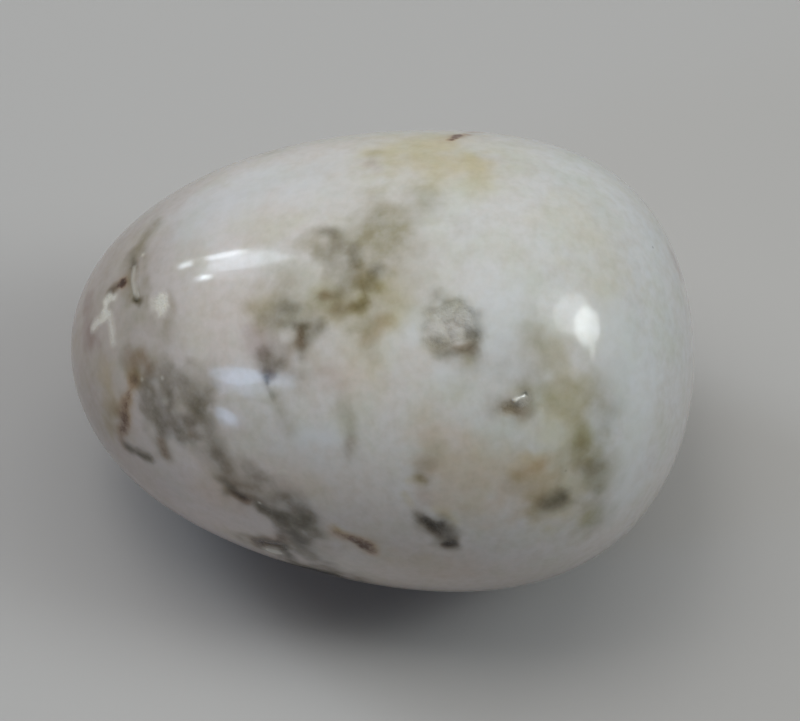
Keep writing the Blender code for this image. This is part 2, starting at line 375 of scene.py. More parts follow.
# Rust, orange where it is thin and dark red-brown where it is dense.
RUST = (
    # By the narrow end.
    Mark(((-24.2, 6.1),), 0.6, 0.7, 1.0),
    Mark(((-24.7, 6.8), (-25.6, 8)), 0.35, 0.9, 0.7),
    Mark(((-22.0, 36), (-20.8, 34), (-20.0, 38)), 0.5, 1.4, 0.35),
    # The arc of rust down the narrow end.
    Mark(((-21.7, 43), (-22.3, 48)), 0.5, 1.4, 0.6),
    Mark(((-22.5, 48), (-22.8, 54)), 0.6, 1.6, 0.75),
    Mark(((-23.0, 54), (-23.3, 59)), 0.5, 1.4, 0.6),
    Mark(((-23.3, 59), (-23.5, 63)), 0.55, 1.2, 0.6),
    Mark(((-23.8, 65), (-24.1, 71)), 0.5, 1.4, 0.5),
    # In the mossy cloud.
    Mark(((-18.8, 62), (-18.5, 67)), 0.35, 1.0, 0.5),
    Mark(((-15.4, 56),), 0.3, 1.0, 0.45),
    # In the rough seam, the streak beside it and the pit at the lower edge.
    Mark(((-10.8, 73), (-9.6, 74.2)), 0.6, 1.3, 0.65),
    Mark(((-0.7, 78.8), (0.5, 80.2)), 0.6, 1.4, 0.6),
    Mark(((0.5, 80.2), (1.8, 82.4)), 0.9, 1.3, 1.0),
    Mark(((1.8, 83), (2.8, 84.8)), 0.7, 1.5, 0.75),
    Mark(((-9.9, 95.5), (-8.2, 93), (-7.2, 89)), 1.0, 1.6, 0.9),
    # In the middle cloud.
    Mark(((-1.9, 16.3), (-1.2, 16.2)), 0.3, 1.1, 0.4),
    Mark(((-0.6, 20), (1.0, 18.4)), 0.35, 1.3, 0.15),
    Mark(((-3.8, 25), (-3.7, 28)), 0.25, 0.9, 0.5),
    # In the pocket and the dimple, by the blunt end and in the slit.
    Mark(((11.6, 27.2), (12.7, 27.2)), 0.5, 1.2, 0.6),
    Mark(((16.4, 41.2), (17.8, 42)), 0.6, 1.6, 0.45),
    Mark(((18.2, 58.5), (19.6, 56.5)), 0.35, 1.6, 0.28),
    Mark(((22.8, 60),), 0.5, 1.5, 0.3),
    Mark(((8.8, 72.6), (10.0, 77)), 0.5, 1.6, 0.3),
    Mark(((10.2, 80.2), (10.9, 79.4)), 0.3, 0.8, 0.6),
    # At the top edge.
    Mark(((7.7, -38.5), (8.0, -43.5)), 0.42, 0.6, 0.95),
    Mark(((8.5, -45.5), (9.1, -44.5)), 0.25, 0.7, 0.6),
    # The far side and underneath.
    Mark(((-9.0, -64), (-6.0, -68)), 0.33, 0.9, 0.7),
    Mark(((8.5, -47), (10.5, -58), (14.0, -70)), 0.33, 1.0, 0.6),
    Mark(((3.0, 126), (8.0, 131), (12.0, 131)), 0.35, 0.9, 0.8),
    Mark(((-25.0, -62), (-23.0, -80)), 0.33, 1.0, 0.6),
    Mark(((-14.0, 182), (-11.0, 188)), 0.4, 1.0, 0.7),
)
# Ink-dark cores.
INK = (
    # In the slit.
    Mark(((8.6, 71.6), (9.0, 73.2)), 0.5, 1.1, 0.6),
    Mark(((9.3, 74.8), (9.9, 77.4)), 0.7, 1.3, 0.45),
    Mark(((10.1, 72.3),), 0.5, 0.9, 0.85),
    Mark(((10.6, 74.6), (10.6, 77)), 0.5, 1.3, 0.4),
    Mark(((10.3, 80), (11.0, 79.4)), 0.42, 0.9, 0.9),
    # In the pointed mark, the streak, two spots by the narrow end and the lower edge.
    Mark(((-7.0, 37), (-6.9, 38.3)), 0.15, 0.5, 0.55),
    Mark(((1.0, 81.4), (1.9, 83.2)), 0.55, 1.1, 0.6),
    Mark(((-22.1, 14.8),), 0.2, 0.5, 0.6),
    Mark(((-8.4, 93.5), (-6.8, 91)), 0.6, 1.2, 0.4),
    Mark(((-6.8, 92), (-6.8, 100)), 0.6, 1.2, 0.4),
    Mark(((-5.0, 84), (-4.6, 89)), 0.6, 1.4, 0.35),
    Mark(((-4.8, 113), (-3.0, 110)), 1.2, 1.8, 0.7),
    Mark(((-24.2, 6.1),), 0.3, 0.6, 0.7),
    # A speck at the top of the blunt end, and the far side and underneath.
    Mark(((28.4, -25.5),), 0.1, 0.2, 0.8),
    Mark(((-2.5, -78), (-1.0, -82)), 0.3, 0.6, 0.6),
    Mark(((5.0, 128),), 0.3, 0.5, 0.8),
)
# Opaque cream chalk, and three small cream specks that are painted glints.
CHALK_AND_GLINTS = (
    # Along the haze by the narrow end.
    Mark(((-22.3, -3.4),), 0.2, 0.5, 0.6),
    Mark(((-23.0, 1), (-22.9, 6.5), (-22.4, 11.5), (-22.0, 13.5)), 0.2, 0.6, 0.4),
    # Down the narrow end.
    Mark(((-25.8, 10.2), (-26.1, 12)), 0.45, 0.8, 0.8),
    Mark(((-25.6, 11.5), (-24.9, 11.5)), 0.35, 0.7, 0.7),
    Mark(((-26.0, 12), (-26.1, 16)), 0.4, 0.8, 0.8),
    Mark(((-26.1, 17.5), (-26.4, 20.5), (-25.7, 19)), 0.5, 0.9, 0.85),
    Mark(((-26.9, 22), (-27.6, 24)), 0.45, 0.9, 0.7),
    Mark(((-25.2, 21), (-24.8, 26), (-24.6, 30)), 0.4, 1.1, 0.65),
    # In the chalky pit.
    Mark(((-20.2, 16), (-20.0, 18.5)), 0.3, 0.9, 0.4),
    Mark(((-19.2, 15.5), (-18.9, 19.5)), 0.65, 0.9, 1.0),
    # Specks.
    # These two specks are painted glints.
    Mark(((-20.8, 42),), 0.15, 0.4, 0.4),
    Mark(((-18.4, 40.5),), 0.15, 0.4, 0.4),
    Mark(((-18.1, 47.5),), 0.3, 0.8, 0.25),
    Mark(((-19.9, 46),), 0.2, 0.8, 0.25),
    Mark(((-17.2, 50.5),), 0.2, 0.8, 0.2),
    Mark(((-6.0, 52.5),), 0.25, 0.6, 0.35),
    Mark(((-5.4, 61.5), (-6.0, 62)), 0.2, 0.5, 0.3),
    # This speck by the rough seam is a painted glint.
    Mark(((-8.4, 73.8),), 0.15, 0.4, 0.7),
    Mark(((-8.8, 99), (-7.8, 98)), 0.6, 1.0, 0.8),
    Mark(((19.7, 41.5),), 0.25, 0.6, 0.35),
    # The far side and underneath.
    Mark(((-21.0, -95), (-19.0, -102)), 0.46, 0.5, 0.77),
    Mark(((6.0, 136),), 0.46, 0.6, 0.66),
)
# Yellow ochre tint.
OCHRE = (
    Mark(((-25.6, 42), (-24.7, 54), (-25.4, 67)), 1.2, 2.6, 0.5),
    Mark(((-21.5, 42), (-22.3, 48), (-22.9, 55)), 0.8, 1.8, 0.6),
    Mark(((1.8, 12), (2.2, 17)), 0.9, 1.8, 0.9),
    Mark(((-1.8, 16), (-0.6, 18), (1.2, 17.5), (2.3, 16)), 1.4, 3.0, 0.45),
    Mark(((5.1, 15.5), (5.6, 20)), 1.2, 3.4, 0.35),
    Mark(((-8.1, 21), (-7.8, 17.5)), 1.0, 2.2, 0.4),
    Mark(((8.1, 59), (8.5, 60)), 0.45, 1.0, 0.5),
    Mark(((7.1, 60),), 0.3, 0.9, 0.35),
    Mark(((7.3, 66.5), (6.7, 63.5)), 0.3, 0.9, 0.35),
    Mark(((9.6, 67.5), (11.6, 71.5)), 0.5, 1.4, 0.5),
    Mark(((23.4, 53), (23.8, 51)), 0.8, 2.2, 0.25),
    Mark(((23.4, 80),), 0.6, 1.4, 0.4),
    Mark(((20.2, 28), (22.8, 40.5), (23.4, 47.5)), 1.8, 4.4, 0.3),
    Mark(((2.6, -26), (6.3, -28), (10.0, -26)), 2.6, 7.0, 0.55),
    Mark(((9.6, -28), (10.6, -26.5)), 1.0, 3.2, 0.45),
    Mark(((7.6, -21), (10.8, -16.5)), 1.5, 4.5, 0.25),
    Mark(((12.2, 27.5), (12.7, 30)), 0.5, 1.2, 0.5),
    Mark(((16.8, 41),), 0.5, 1.4, 0.4),
    Mark(((-0.6, 77.5), (0.5, 79)), 0.5, 1.2, 0.7),
    Mark(((21.5, -14), (24.5, -2)), 2.8, 6.0, 0.3),
    Mark(((20.6, 44), (22.0, 60), (21.5, 72)), 3.0, 5.0, 0.45),
    Mark(((1.0, 22), (2.5, 28)), 2.0, 3.5, 0.15),
    Mark(((3.0, -37), (8.0, -38)), 2.8, 5.0, 0.4),
    # The far side and underneath.
    Mark(((-7.0, -70), (1.0, -82)), 2.5, 4.0, 0.55),
    Mark(((16.0, 150), (22.0, 165)), 2.5, 4.5, 0.55),
)
# Peach tint.
PEACH = (
    Mark(((10.6, 52.5), (13.9, 56.5), (17.6, 60.5)), 3.0, 4.5, 0.9),
    Mark(((11.0, 63.5), (15.7, 67)), 2.5, 4.5, 0.7),
    Mark(((-1.8, 34.5), (3.2, 35)), 1.8, 4.0, 0.4),
    Mark(((3.0, 26.5), (4.4, 22)), 0.6, 2.0, 0.8),
    Mark(((-14.8, 17), (-10.2, 25)), 3.0, 5.0, 0.15),
    Mark(((5.4, 87.5), (11.2, 91.5)), 2.5, 4.5, 0.5),
    Mark(((-4.0, 62), (-14.0, 75)), 2.5, 4.5, 0.4),
    # The far side and underneath.
    Mark(((10.0, -100), (16.0, -120)), 3.0, 4.5, 0.5),
    Mark(((-6.0, 150), (4.0, 165)), 3.0, 4.5, 0.5),
)
# Bluish-white patches where the stone is clearest.
MILK = (
    Mark(((-2.9, 51), (-0.2, 50)), 0.9, 2.0, 0.5),
    Mark(((-5.3, 55), (-1.7, 57)), 1.2, 3.0, 0.35),
    Mark(((10.4, 33),), 0.8, 2.0, 0.5),
    Mark(((7.5, 20.5), (7.1, 25)), 0.7, 1.8, 0.5),
    Mark(((20.0, 49.5), (20.9, 48.5)), 0.7, 1.8, 0.6),
    Mark(((26.2, 17.5), (28.4, 49), (26.6, 80)), 3.0, 5.0, 0.5),
    Mark(((-16.6, -13), (-11.7, -19), (-4.7, -23)), 4.0, 6.0, 0.4),
    Mark(((15.1, 15), (15.0, 26)), 2.5, 4.0, 0.35),
)
# Purple-brown stain.
MAUVE = (
    Mark(((-9.0, 25), (-8.3, 28), (-7.6, 31)), 0.9, 2.4, 0.5),
    Mark(((-6.5, 30), (-4.0, 34), (-1.0, 36)), 1.4, 3.6, 0.4),
    Mark(((-7.2, 35.3), (-6.5, 36.3)), 0.25, 0.9, 0.6),
    Mark(((-29.0, 5.5), (-28.5, 18.5), (-27.9, 29.5)), 1.0, 2.2, 0.55),
    Mark(((-29.2, 11.5),), 0.5, 1.4, 0.6),
    Mark(((-28.0, 23), (-27.6, 28.5)), 0.4, 1.2, 0.6),
    Mark(((-26.7, 29.5), (-26.4, 31.5)), 0.35, 1.1, 0.6),
    Mark(((-16.0, 49), (-15.0, 54)), 0.6, 2.0, 0.35),
    Mark(((-11.0, 72.5), (-9.8, 75)), 0.3, 0.9, 0.5),
    Mark(((1.5, 50), (1.2, 55)), 0.3, 1.2, 0.4),
    Mark(((11.3, 22),), 1.2, 1.6, 0.15),
    Mark(((0.5, -24.5), (1.5, -21.6)), 0.6, 1.5, 0.5),
    Mark(((8.4, -42), (9.2, -49)), 0.7, 1.6, 0.5),
    Mark(((8.7, 55.5), (8.8, 65)), 0.9, 2.4, 0.25),
    Mark(((-6.3, 85), (-1.7, 86.5)), 1.2, 2.6, 0.35),
    Mark(((30.1, -49), (30.8, -49)), 0.8, 1.8, 0.6),
    # The far side and underneath.
    Mark(((12.0, -64), (16.0, -76)), 1.3, 3.0, 0.6),
)

# Each kind of mark, under the name that its cover has in the mesh.
KINDS = {
    "haze": HAZE,
    "smoke": SMOKE,
    "moss": MOSS,
    "rust": RUST,
    "ink": INK,
    "chalk_and_glints": CHALK_AND_GLINTS,
    "ochre": OCHRE,
    "peach": PEACH,
    "milk": MILK,
    "mauve": MAUVE,
}
# Noise of three spacings, in mm, roughens a mark's edge by these shares of its extent. Marks
# with a fade from SOFT_FADE up take the two wider ones, and sharper marks the two finer ones.
BROAD_SPACING = 3.5
MIDDLE_SPACING = 1.4
FINE_SPACING = 0.5
BROAD_SHARE = 0.45
MIDDLE_SHARE = 0.35
FINE_SHARE = 0.20
SOFT_FADE = 1.0
# No roughened mark reaches this many times its extent.
ROUGHENED_REACH = 1.9
# The faint stain round the rust, as multiples of the rust's own width, fade and strength.
STAIN_WIDTH = 1.4
STAIN_FADE = 2.0
STAIN_EXTRA_FADE = 0.8
STAIN_STRENGTH = 0.6

# The hollows, each with its depth in mm: the crystal pocket, the dimple, the slit, the rough
# seam, the pit at the lower edge, the chalky pit and three fine grooves beside the chalk.
POCKET = Mark(((11.0, 22.0),), 1.9, 2.2)
SEAM_RUN = ((-12.0, 71), (-10.8, 73), (-9.7, 74), (-8.4, 75.5), (-7.0, 77), (-5.6, 78))
SUNK = (
    (POCKET, 0.42),
    (Mark(((16.5, 41.2), (17.5, 40.8), (18.3, 38.8)), 0.4, 1.6), 0.32),
    (Mark(((8.8, 72), (9.5, 74.6), (10.1, 77.4), (10.6, 79.6)), 0.5, 1.5), 0.2),
    (Mark(SEAM_RUN, 0.3, 1.2), 0.14),
    (Mark(((-8.9, 96), (-8.0, 95), (-7.2, 94)), 0.6, 1.0), 0.25),
    (Mark(((-19.7, 15.5), (-19.3, 19)), 0.4, 0.9), 0.09),
    (Mark(((-26.0, 11), (-26.0, 17), (-26.6, 21)), 0.25, 0.6), 0.08),
    (Mark(((-23.4, 1), (-23.2, 7), (-22.6, 13)), 0.08, 0.3), 0.06),
    (Mark(((-22.4, 2), (-22.2, 8), (-21.8, 13)), 0.08, 0.3), 0.05),
)
# A hollow of this depth is fully rough, and its floor is grainy by about this, both in mm.
ROUGH_DEPTH = 0.25
FLOOR_GRAIN = 0.03
# The rounded crystals in the pocket: place, then radius and rise from the floor in mm.
CRYSTALS = (
    ((10.3, 19.2), 1.15, 0.24),
    ((11.9, 20.2), 1.00, 0.20),
    ((9.7, 23.5), 1.05, 0.17),
    ((11.6, 24.0), 0.95, 0.26),
    ((10.6, 25.4), 0.70, 0.14),
    ((12.7, 22.6), 0.80, 0.14),
    ((10.7, 17.0), 0.85, 0.12),
    ((9.4, 21.0), 0.80, 0.16),
    ((10.8, 22.2), 0.70, 0.12),
)
# A crystal that rises this far, in mm, has no painted crevice shade on it. Inside the pocket's rim
# the crystals come to their height this many times as fast as the pocket comes to its depth.
CLEAR_RISE = 0.4
CRYSTAL_ONSET = 1.5
# One flat crystal face in the dimple catches the light. It slopes from its start, which stands
# a little proud, down to its end. Its sizes are in mm, and its slopes in mm for each mm.
FACE_START = (17.1, 39.2)
FACE_END = (18.3, 37.5)
FACE_HALF_WIDTH = 0.12
FACE_FADE = 0.16
FACE_START_FADE = 0.2
FACE_END_FADE = 0.12
FACE_START_RISE = 0.25
FACE_SLOPE = 0.43
FACE_TILT = 0.11
# The polish is not quite even: broad waves and small ripples, in mm. Full haze adds to the
# ripples this many times their height.
WAVE_SPACING = 6.0
WAVE_HEIGHT = 0.022
RIPPLE_SPACING = 2.4
RIPPLE_HEIGHT = 0.006
HAZE_RIPPLES = 2.0
# Up to PLAIN_RIM above the flat spot the ground shape is left plain, and the relief comes in
# over PLAIN_FADE more. Both are in mm of height.
PLAIN_RIM = 0.2
PLAIN_FADE = 3.0
# The mesh starts even, and its edges are halved until each mark has edges of about EDGE_SHARE
# of its fade. An edge may be LONGEST_EDGE times what is wanted. Edges are in mm. The finest
# reach CRYSTAL_MARGIN times a crystal's radius, and FACE_MARGIN past the flat face.
START_SUBDIVISIONS = 6
MOST_HALVINGS = 5
EDGE_SHARE = 0.36
FINEST_EDGE = 0.11
COARSEST_EDGE = 1.2
LONGEST_EDGE = 1.5
CRYSTAL_MARGIN = 1.2
FACE_MARGIN = 0.5
# A run is followed in steps of at most this many mm along and degrees round.
STEP_ALONG = 0.8
STEP_AROUND = 2.5
SHARP_ANGLE = math.radians(70)


def on_egg(unit):
    """Gives the ground surface, in m, for points of the unit sphere, with the long axis level."""
    along = unit[:, 0]
    side = unit[:, 2] * math.cos(FULLER_SIDE) - unit[:, 1] * math.sin(FULLER_SIDE)
    girth = HALF_GIRTH * (
        1.0
        + (TAPER + FULLER_TAPER * side) * along
        + (SHOULDER + FULLER_SHOULDER * side) * along**2
        + (HEEL + FULLER_HEEL * side) * along**3
    )
    return np.column_stack((along * LENGTH / 2, unit[:, 1] * girth, unit[:, 2] * girth))


def in_stone(along, around_deg):
    """Gives points of the ground surface, in mm, for places along and around the egg."""
    share = np.asarray(along) * MM / (LENGTH / 2)
    ring = np.sqrt(1.0 - share**2)
    around = np.radians(around_deg)
    return on_egg(np.column_stack((share, -np.sin(around) * ring, np.cos(around) * ring))) / MM


def drawn(run):
    """Gives the points of a run on the surface, close enough together to follow it."""
    steps = [run[0]]
    for start, end in zip(run[:-1], run[1:]):
        steps_along = abs(end[0] - start[0]) / STEP_ALONG
        steps_around = abs(end[1] - start[1]) / STEP_AROUND
        count = math.ceil(max(steps_along, steps_around))
        for step in range(1, count + 1):
            share = step / count
            steps.append((
                start[0] + (end[0] - start[0]) * share,
                start[1] + (end[1] - start[1]) * share,
            ))
    return in_stone(*zip(*steps))


def gaps(run, places, reach):
    """Finds the places within reach of a run, and their distances from it."""
    line = drawn(run)
    middle = line.mean(axis=0)
    radius = np.linalg.norm(line - middle, axis=1).max() + reach
    near = np.flatnonzero(((places - middle) ** 2).sum(axis=1) < radius**2)
    around = places[near]
    gap = np.linalg.norm(around - line[0], axis=1)
    for start, end in zip(line[:-1], line[1:]):
        step = end - start
        share = np.clip((around - start) @ step / (step @ step), 0.0, 1.0)
        gap = np.minimum(gap, np.linalg.norm(around - start - share[:, None] * step, axis=1))
    inside = gap < reach
    return near[inside], gap[inside]


def noise_at(places, spacing):
    """Gives smooth noise from -1 to 1 at places, with features about spacing apart."""
    return np.array([noise.noise(Vector(place) / spacing) for place in places])


def eased(share):
    """Clips to 0..1 and softens both ends."""
    share = np.clip(share, 0.0, 1.0)
    return share * share * (3.0 - 2.0 * share)


def cover(marks, places, roughening):
    """Gives how far a kind of mark covers each place, from 0 to 1."""
    broad, middle, fine = roughening
    clear = np.ones(len(places))
    for mark in marks:
        extent = mark.half_width + mark.fade / 2
        near, gap = gaps(mark.run, places, ROUGHENED_REACH * extent)
        if mark.fade >= SOFT_FADE:
            gap = gap + extent * (BROAD_SHARE * broad[near] + MIDDLE_SHARE * middle[near])
        else:
            gap = gap + extent * (MIDDLE_SHARE * middle[near] + FINE_SHARE * fine[near])
        clear[near] *= 1.0 - mark.strength * eased((extent - gap) / mark.fade)
    return 1.0 - clear


def stain_round(marks):
    """Gives the wide faint stain that shows through the clear stone round each mark."""
    return tuple(
        mark._replace(
            half_width=STAIN_WIDTH * mark.half_width,
            fade=STAIN_FADE * mark.fade + STAIN_EXTRA_FADE,
            strength=STAIN_STRENGTH * mark.strength,
        )
        for mark in marks
    )


def wanted_edges(places):
    """Gives how long the mesh's edges may be at each place, in mm."""
    wanted = np.full(len(places), COARSEST_EDGE)
    marks = [mark for kind in KINDS.values() for mark in kind]
    for mark in marks + [mark for mark, depth in SUNK]:
        edge = max(FINEST_EDGE, EDGE_SHARE * mark.fade)
        near, gap = gaps(mark.run, places, mark.half_width + mark.fade + edge)
        wanted[near] = np.minimum(wanted[near], edge)
    for place, radius, rise in CRYSTALS:
        near, gap = gaps((place,), places, CRYSTAL_MARGIN * radius)
        wanted[near] = FINEST_EDGE
    near, gap = gaps((FACE_START, FACE_END), places, FACE_HALF_WIDTH + FACE_MARGIN)
    wanted[near] = FINEST_EDGE
    return wanted


def corners(mesh):
    """Gives a bmesh's vertex places as one array."""
    return np.array([vert.co for vert in mesh.verts])


egg_mesh = bmesh.new()
bmesh.ops.create_icosphere(egg_mesh, subdivisions=START_SUBDIVISIONS, radius=1.0)
for _ in range(MOST_HALVINGS):
    egg_mesh.verts.index_update()
    places = on_egg(corners(egg_mesh)) / MM
    wanted = wanted_edges(places)
    ends = np.array([(edge.verts[0].index, edge.verts[1].index) for edge in egg_mesh.edges])
    lengths = np.linalg.norm(places[ends[:, 0]] - places[ends[:, 1]], axis=1)
    too_long = lengths > LONGEST_EDGE * wanted[ends].min(axis=1)
    if not too_long.any():
        break
    long_edges = [edge for edge, is_long in zip(egg_mesh.edges, too_long) if is_long]
    bmesh.ops.subdivide_edges(egg_mesh, edges=long_edges, cuts=1)
    bmesh.ops.triangulate(egg_mesh, faces=[face for face in egg_mesh.faces if len(face.verts) > 3])
    for vert in egg_mesh.verts:
        vert.co.normalize()
for vert, place in zip(egg_mesh.verts, on_egg(corners(egg_mesh))):
    vert.co = place

# Lay the egg down with its nose lower, and grind the flat spot under its belly.
nose_down = Matrix.Rotation(-NOSE_DROP, 4, "Y")
bmesh.ops.transform(egg_mesh, matrix=nose_down, verts=egg_mesh.verts)
ground_level = corners(egg_mesh)[:, 2].min() + FLAT_SPOT_DEPTH
bmesh.ops.bisect_plane(
    egg_mesh,
    geom=list(egg_mesh.verts) + list(egg_mesh.edges) + list(egg_mesh.faces),
    dist=FLAT_SPOT_TOLERANCE,
    plane_co=(0, 0, ground_level),
    plane_no=(0, 0, -1),
    clear_outer=True,
)
bmesh.ops.contextual_create(egg_mesh, geom=[edge for edge in egg_mesh.edges if edge.is_boundary])
bmesh.ops.recalc_face_normals(egg_mesh, faces=egg_mesh.faces)
egg_mesh.normal_update()

# Find what lies at each vertex, with the long axis level again.
lying = corners(egg_mesh)
places = lying @ np.array(nose_down.to_3x3()) / MM
height_above_flat = (lying[:, 2] - ground_level) / MM
roughening = [noise_at(places, step) for step in (BROAD_SPACING, MIDDLE_SPACING, FINE_SPACING)]
covers = {name: cover(marks, places, roughening) for name, marks in KINDS.items()}
covers["rust_stain"] = cover(stain_round(RUST), places, roughening)

# Sink the hollows and stand the rounded crystals in the pocket.
depth = np.zeros(len(places))
for mark, deepest in SUNK:
    depth = np.maximum(depth, deepest * cover((mark,), places, roughening))
hollow = np.clip(depth / ROUGH_DEPTH, 0.0, 1.0)
rise = np.zeros(len(places))
for place, radius, height in CRYSTALS:
    near, gap = gaps((place,), places, radius)
    rise[near] = np.maximum(rise[near], height * (1.0 - (gap / radius) ** 2))
crystal = np.clip(rise / CLEAR_RISE, 0.0, 1.0) * hollow
pocket = cover((POCKET,), places, roughening)
depth = np.maximum(depth - rise * eased(pocket * CRYSTAL_ONSET), 0.0)
fine_noise = roughening[2]
depth += hollow * FLOOR_GRAIN * (fine_noise + 1.0)

# Lay the one flat crystal face in the dimple. It keeps its polish.
start, end = in_stone(*zip(FACE_START, FACE_END))
face_length = np.linalg.norm(end - start)
down_face = (end - start) / face_length
across_face = np.cross(start / np.linalg.norm(start), down_face)
from_start = places - start
down = from_start @ down_face
aside = from_start @ across_face
face = eased((FACE_HALF_WIDTH + FACE_FADE - np.abs(aside)) / FACE_FADE)
begun = eased((down + FACE_START_FADE / 2) / FACE_START_FADE)
not_ended = eased((face_length + FACE_END_FADE - down) / FACE_END_FADE)
face *= begun * not_ended
face *= np.linalg.norm(from_start, axis=1) < 2 * face_length
face_depth = FACE_SLOPE * down + FACE_TILT * aside - FACE_START_RISE
depth += face * (face_depth - depth)
hollow *= 1.0 - face

# Leave the polish a little uneven, and move each vertex to its place.
waves = WAVE_HEIGHT * noise_at(places, WAVE_SPACING)
ripples = RIPPLE_HEIGHT * noise_at(places, RIPPLE_SPACING)
unevenness = waves + ripples * (1.0 + HAZE_RIPPLES * covers["haze"])
lift = (unevenness - depth) * eased((height_above_flat - PLAIN_RIM) / PLAIN_FADE)
for vert, amount in zip(egg_mesh.verts, lift * MM):
    vert.co += vert.normal * amount
bmesh.ops.translate(egg_mesh, verts=egg_mesh.verts, vec=(EGG_MIDDLE.x, EGG_MIDDLE.y, -ground_level))

egg_data = bpy.data.meshes.new("marble_egg")
egg_mesh.to_mesh(egg_data)
egg_mesh.free()
for name, values in {**covers, "hollow": hollow, "crystal": crystal}.items():
    layer = egg_data.attributes.new(name, "FLOAT", "POINT")
    layer.data.foreach_set("value", values.astype(np.float32))
egg_data.shade_smooth()
egg_data.set_sharp_from_angle(angle=SHARP_ANGLE)
egg = bpy.data.objects.new("marble_egg", egg_data)
bpy.context.scene.collection.objects.link(egg)

stone = bpy.data.materials.new("polished_stone")
stone.use_nodes = True
nodes = stone.node_tree.nodes
links = stone.node_tree.links
shader = nodes["Principled BSDF"]


def mottled_share():
    """A cover broken up by noise. What shows is cover * (1 + mottle * (noise - 0.5))."""
    group = bpy.data.node_groups.new("mottled_share", "ShaderNodeTree")
    sockets = group.interface
    sockets.new_socket("Place", in_out="INPUT", socket_type="NodeSocketVector")
    sockets.new_socket("Cover", in_out="INPUT", socket_type="NodeSocketFloat")
    sockets.new_socket("Grain", in_out="INPUT", socket_type="NodeSocketFloat")
    sockets.new_socket("Mottle", in_out="INPUT", socket_type="NodeSocketFloat")
    sockets.new_socket("Share", in_out="OUTPUT", socket_type="NodeSocketFloat")
    enter = group.nodes.new("NodeGroupInput")
    leave = group.nodes.new("NodeGroupOutput")
    grain = group.nodes.new("ShaderNodeTexNoise")
    grain.inputs["Detail"].default_value = 3.0
    grain.inputs["Roughness"].default_value = 0.6
    centred = group.nodes.new("ShaderNodeMath")
    centred.operation = "SUBTRACT"
    centred.inputs[1].default_value = 0.5
    scaled = group.nodes.new("ShaderNodeMath")
    scaled.operation = "MULTIPLY_ADD"
    scaled.inputs[2].default_value = 1.0
    share = group.nodes.new("ShaderNodeMath")
    share.operation = "MULTIPLY"
    share.use_clamp = True
    wire = group.links.new
    wire(enter.outputs["Place"], grain.inputs["Vector"])
    wire(enter.outputs["Grain"], grain.inputs["Scale"])
    wire(grain.outputs["Fac"], centred.inputs[0])
    wire(centred.outputs[0], scaled.inputs[0])
    wire(enter.outputs["Mottle"], scaled.inputs[1])
    wire(scaled.outputs[0], share.inputs[0])
    wire(enter.outputs["Cover"], share.inputs[1])
    wire(share.outputs[0], leave.inputs["Share"])
    return group


share_group = mottled_share()
object_place = nodes.new("ShaderNodeTexCoord").outputs["Object"]
in_mm = nodes.new("ShaderNodeMapping")
in_mm.inputs["Scale"].default_value = (1 / MM, 1 / MM, 1 / MM)
links.new(object_place, in_mm.inputs["Vector"])
place_mm = in_mm.outputs["Vector"]


def cloud(scale, detail):
    """Noise with a number of features for each mm."""
    texture = nodes.new("ShaderNodeTexNoise")
    texture.inputs["Scale"].default_value = scale
    texture.inputs["Detail"].default_value = detail
    links.new(place_mm, texture.inputs["Vector"])
    return texture.outputs["Fac"]


def ranged(value, low, high, to_low=0.0, to_high=1.0):
    """Maps low..high of a value to to_low..to_high."""
    node = nodes.new("ShaderNodeMapRange")
    node.inputs["From Min"].default_value = low
    node.inputs["From Max"].default_value = high
    node.inputs["To Min"].default_value = to_low
    node.inputs["To Max"].default_value = to_high
    links.new(value, node.inputs["Value"])
    return node.outputs["Result"]


def mixed(kind, share, first, second):
    """Mixes two colours, each a socket or a fixed colour, by a share from a socket."""
    node = nodes.new("ShaderNodeMix")
    node.data_type = "RGBA"
    node.blend_type = kind
    for socket, value in ((node.inputs[0], share), (node.inputs[6], first), (node.inputs[7], second)):
        if isinstance(value, tuple):
            socket.default_value = (*value, 1.0)
        else:
            links.new(value, socket)
    return node.outputs[2]


def share_of(name, grain, mottle):
    """The share of a kind of mark that shows, from its cover in the mesh."""
    layer = nodes.new("ShaderNodeAttribute")
    layer.attribute_name = name
    group = nodes.new("ShaderNodeGroup")
    group.node_tree = share_group
    group.inputs["Grain"].default_value = grain
    group.inputs["Mottle"].default_value = mottle
    links.new(place_mm, group.inputs["Place"])
    links.new(layer.outputs["Fac"], group.inputs["Cover"])
    return group.outputs["Share"]


def tinted(base, share, tint):
    """Multiplies a base colour by a tint, in full where share is 1."""
    return mixed("MULTIPLY", share, base, tint)


# The clear stone is milky in some places and creamy in others.
MILKY = (0.755, 0.736, 0.712)
CREAMY = (0.760, 0.718, 0.672)
# Faint clouds in it: features for each mm, detail, noise where each starts and is full, tint.
FAINT_CLOUDS = (
    (0.22, 4.0, 0.45, 0.75, (0.93, 0.95, 0.88)),
    (0.9, 4.0, 0.4, 0.7, (0.93, 0.915, 0.89)),
    (1.9, 2.0, 0.35, 0.7, (0.96, 0.975, 0.97)),
)
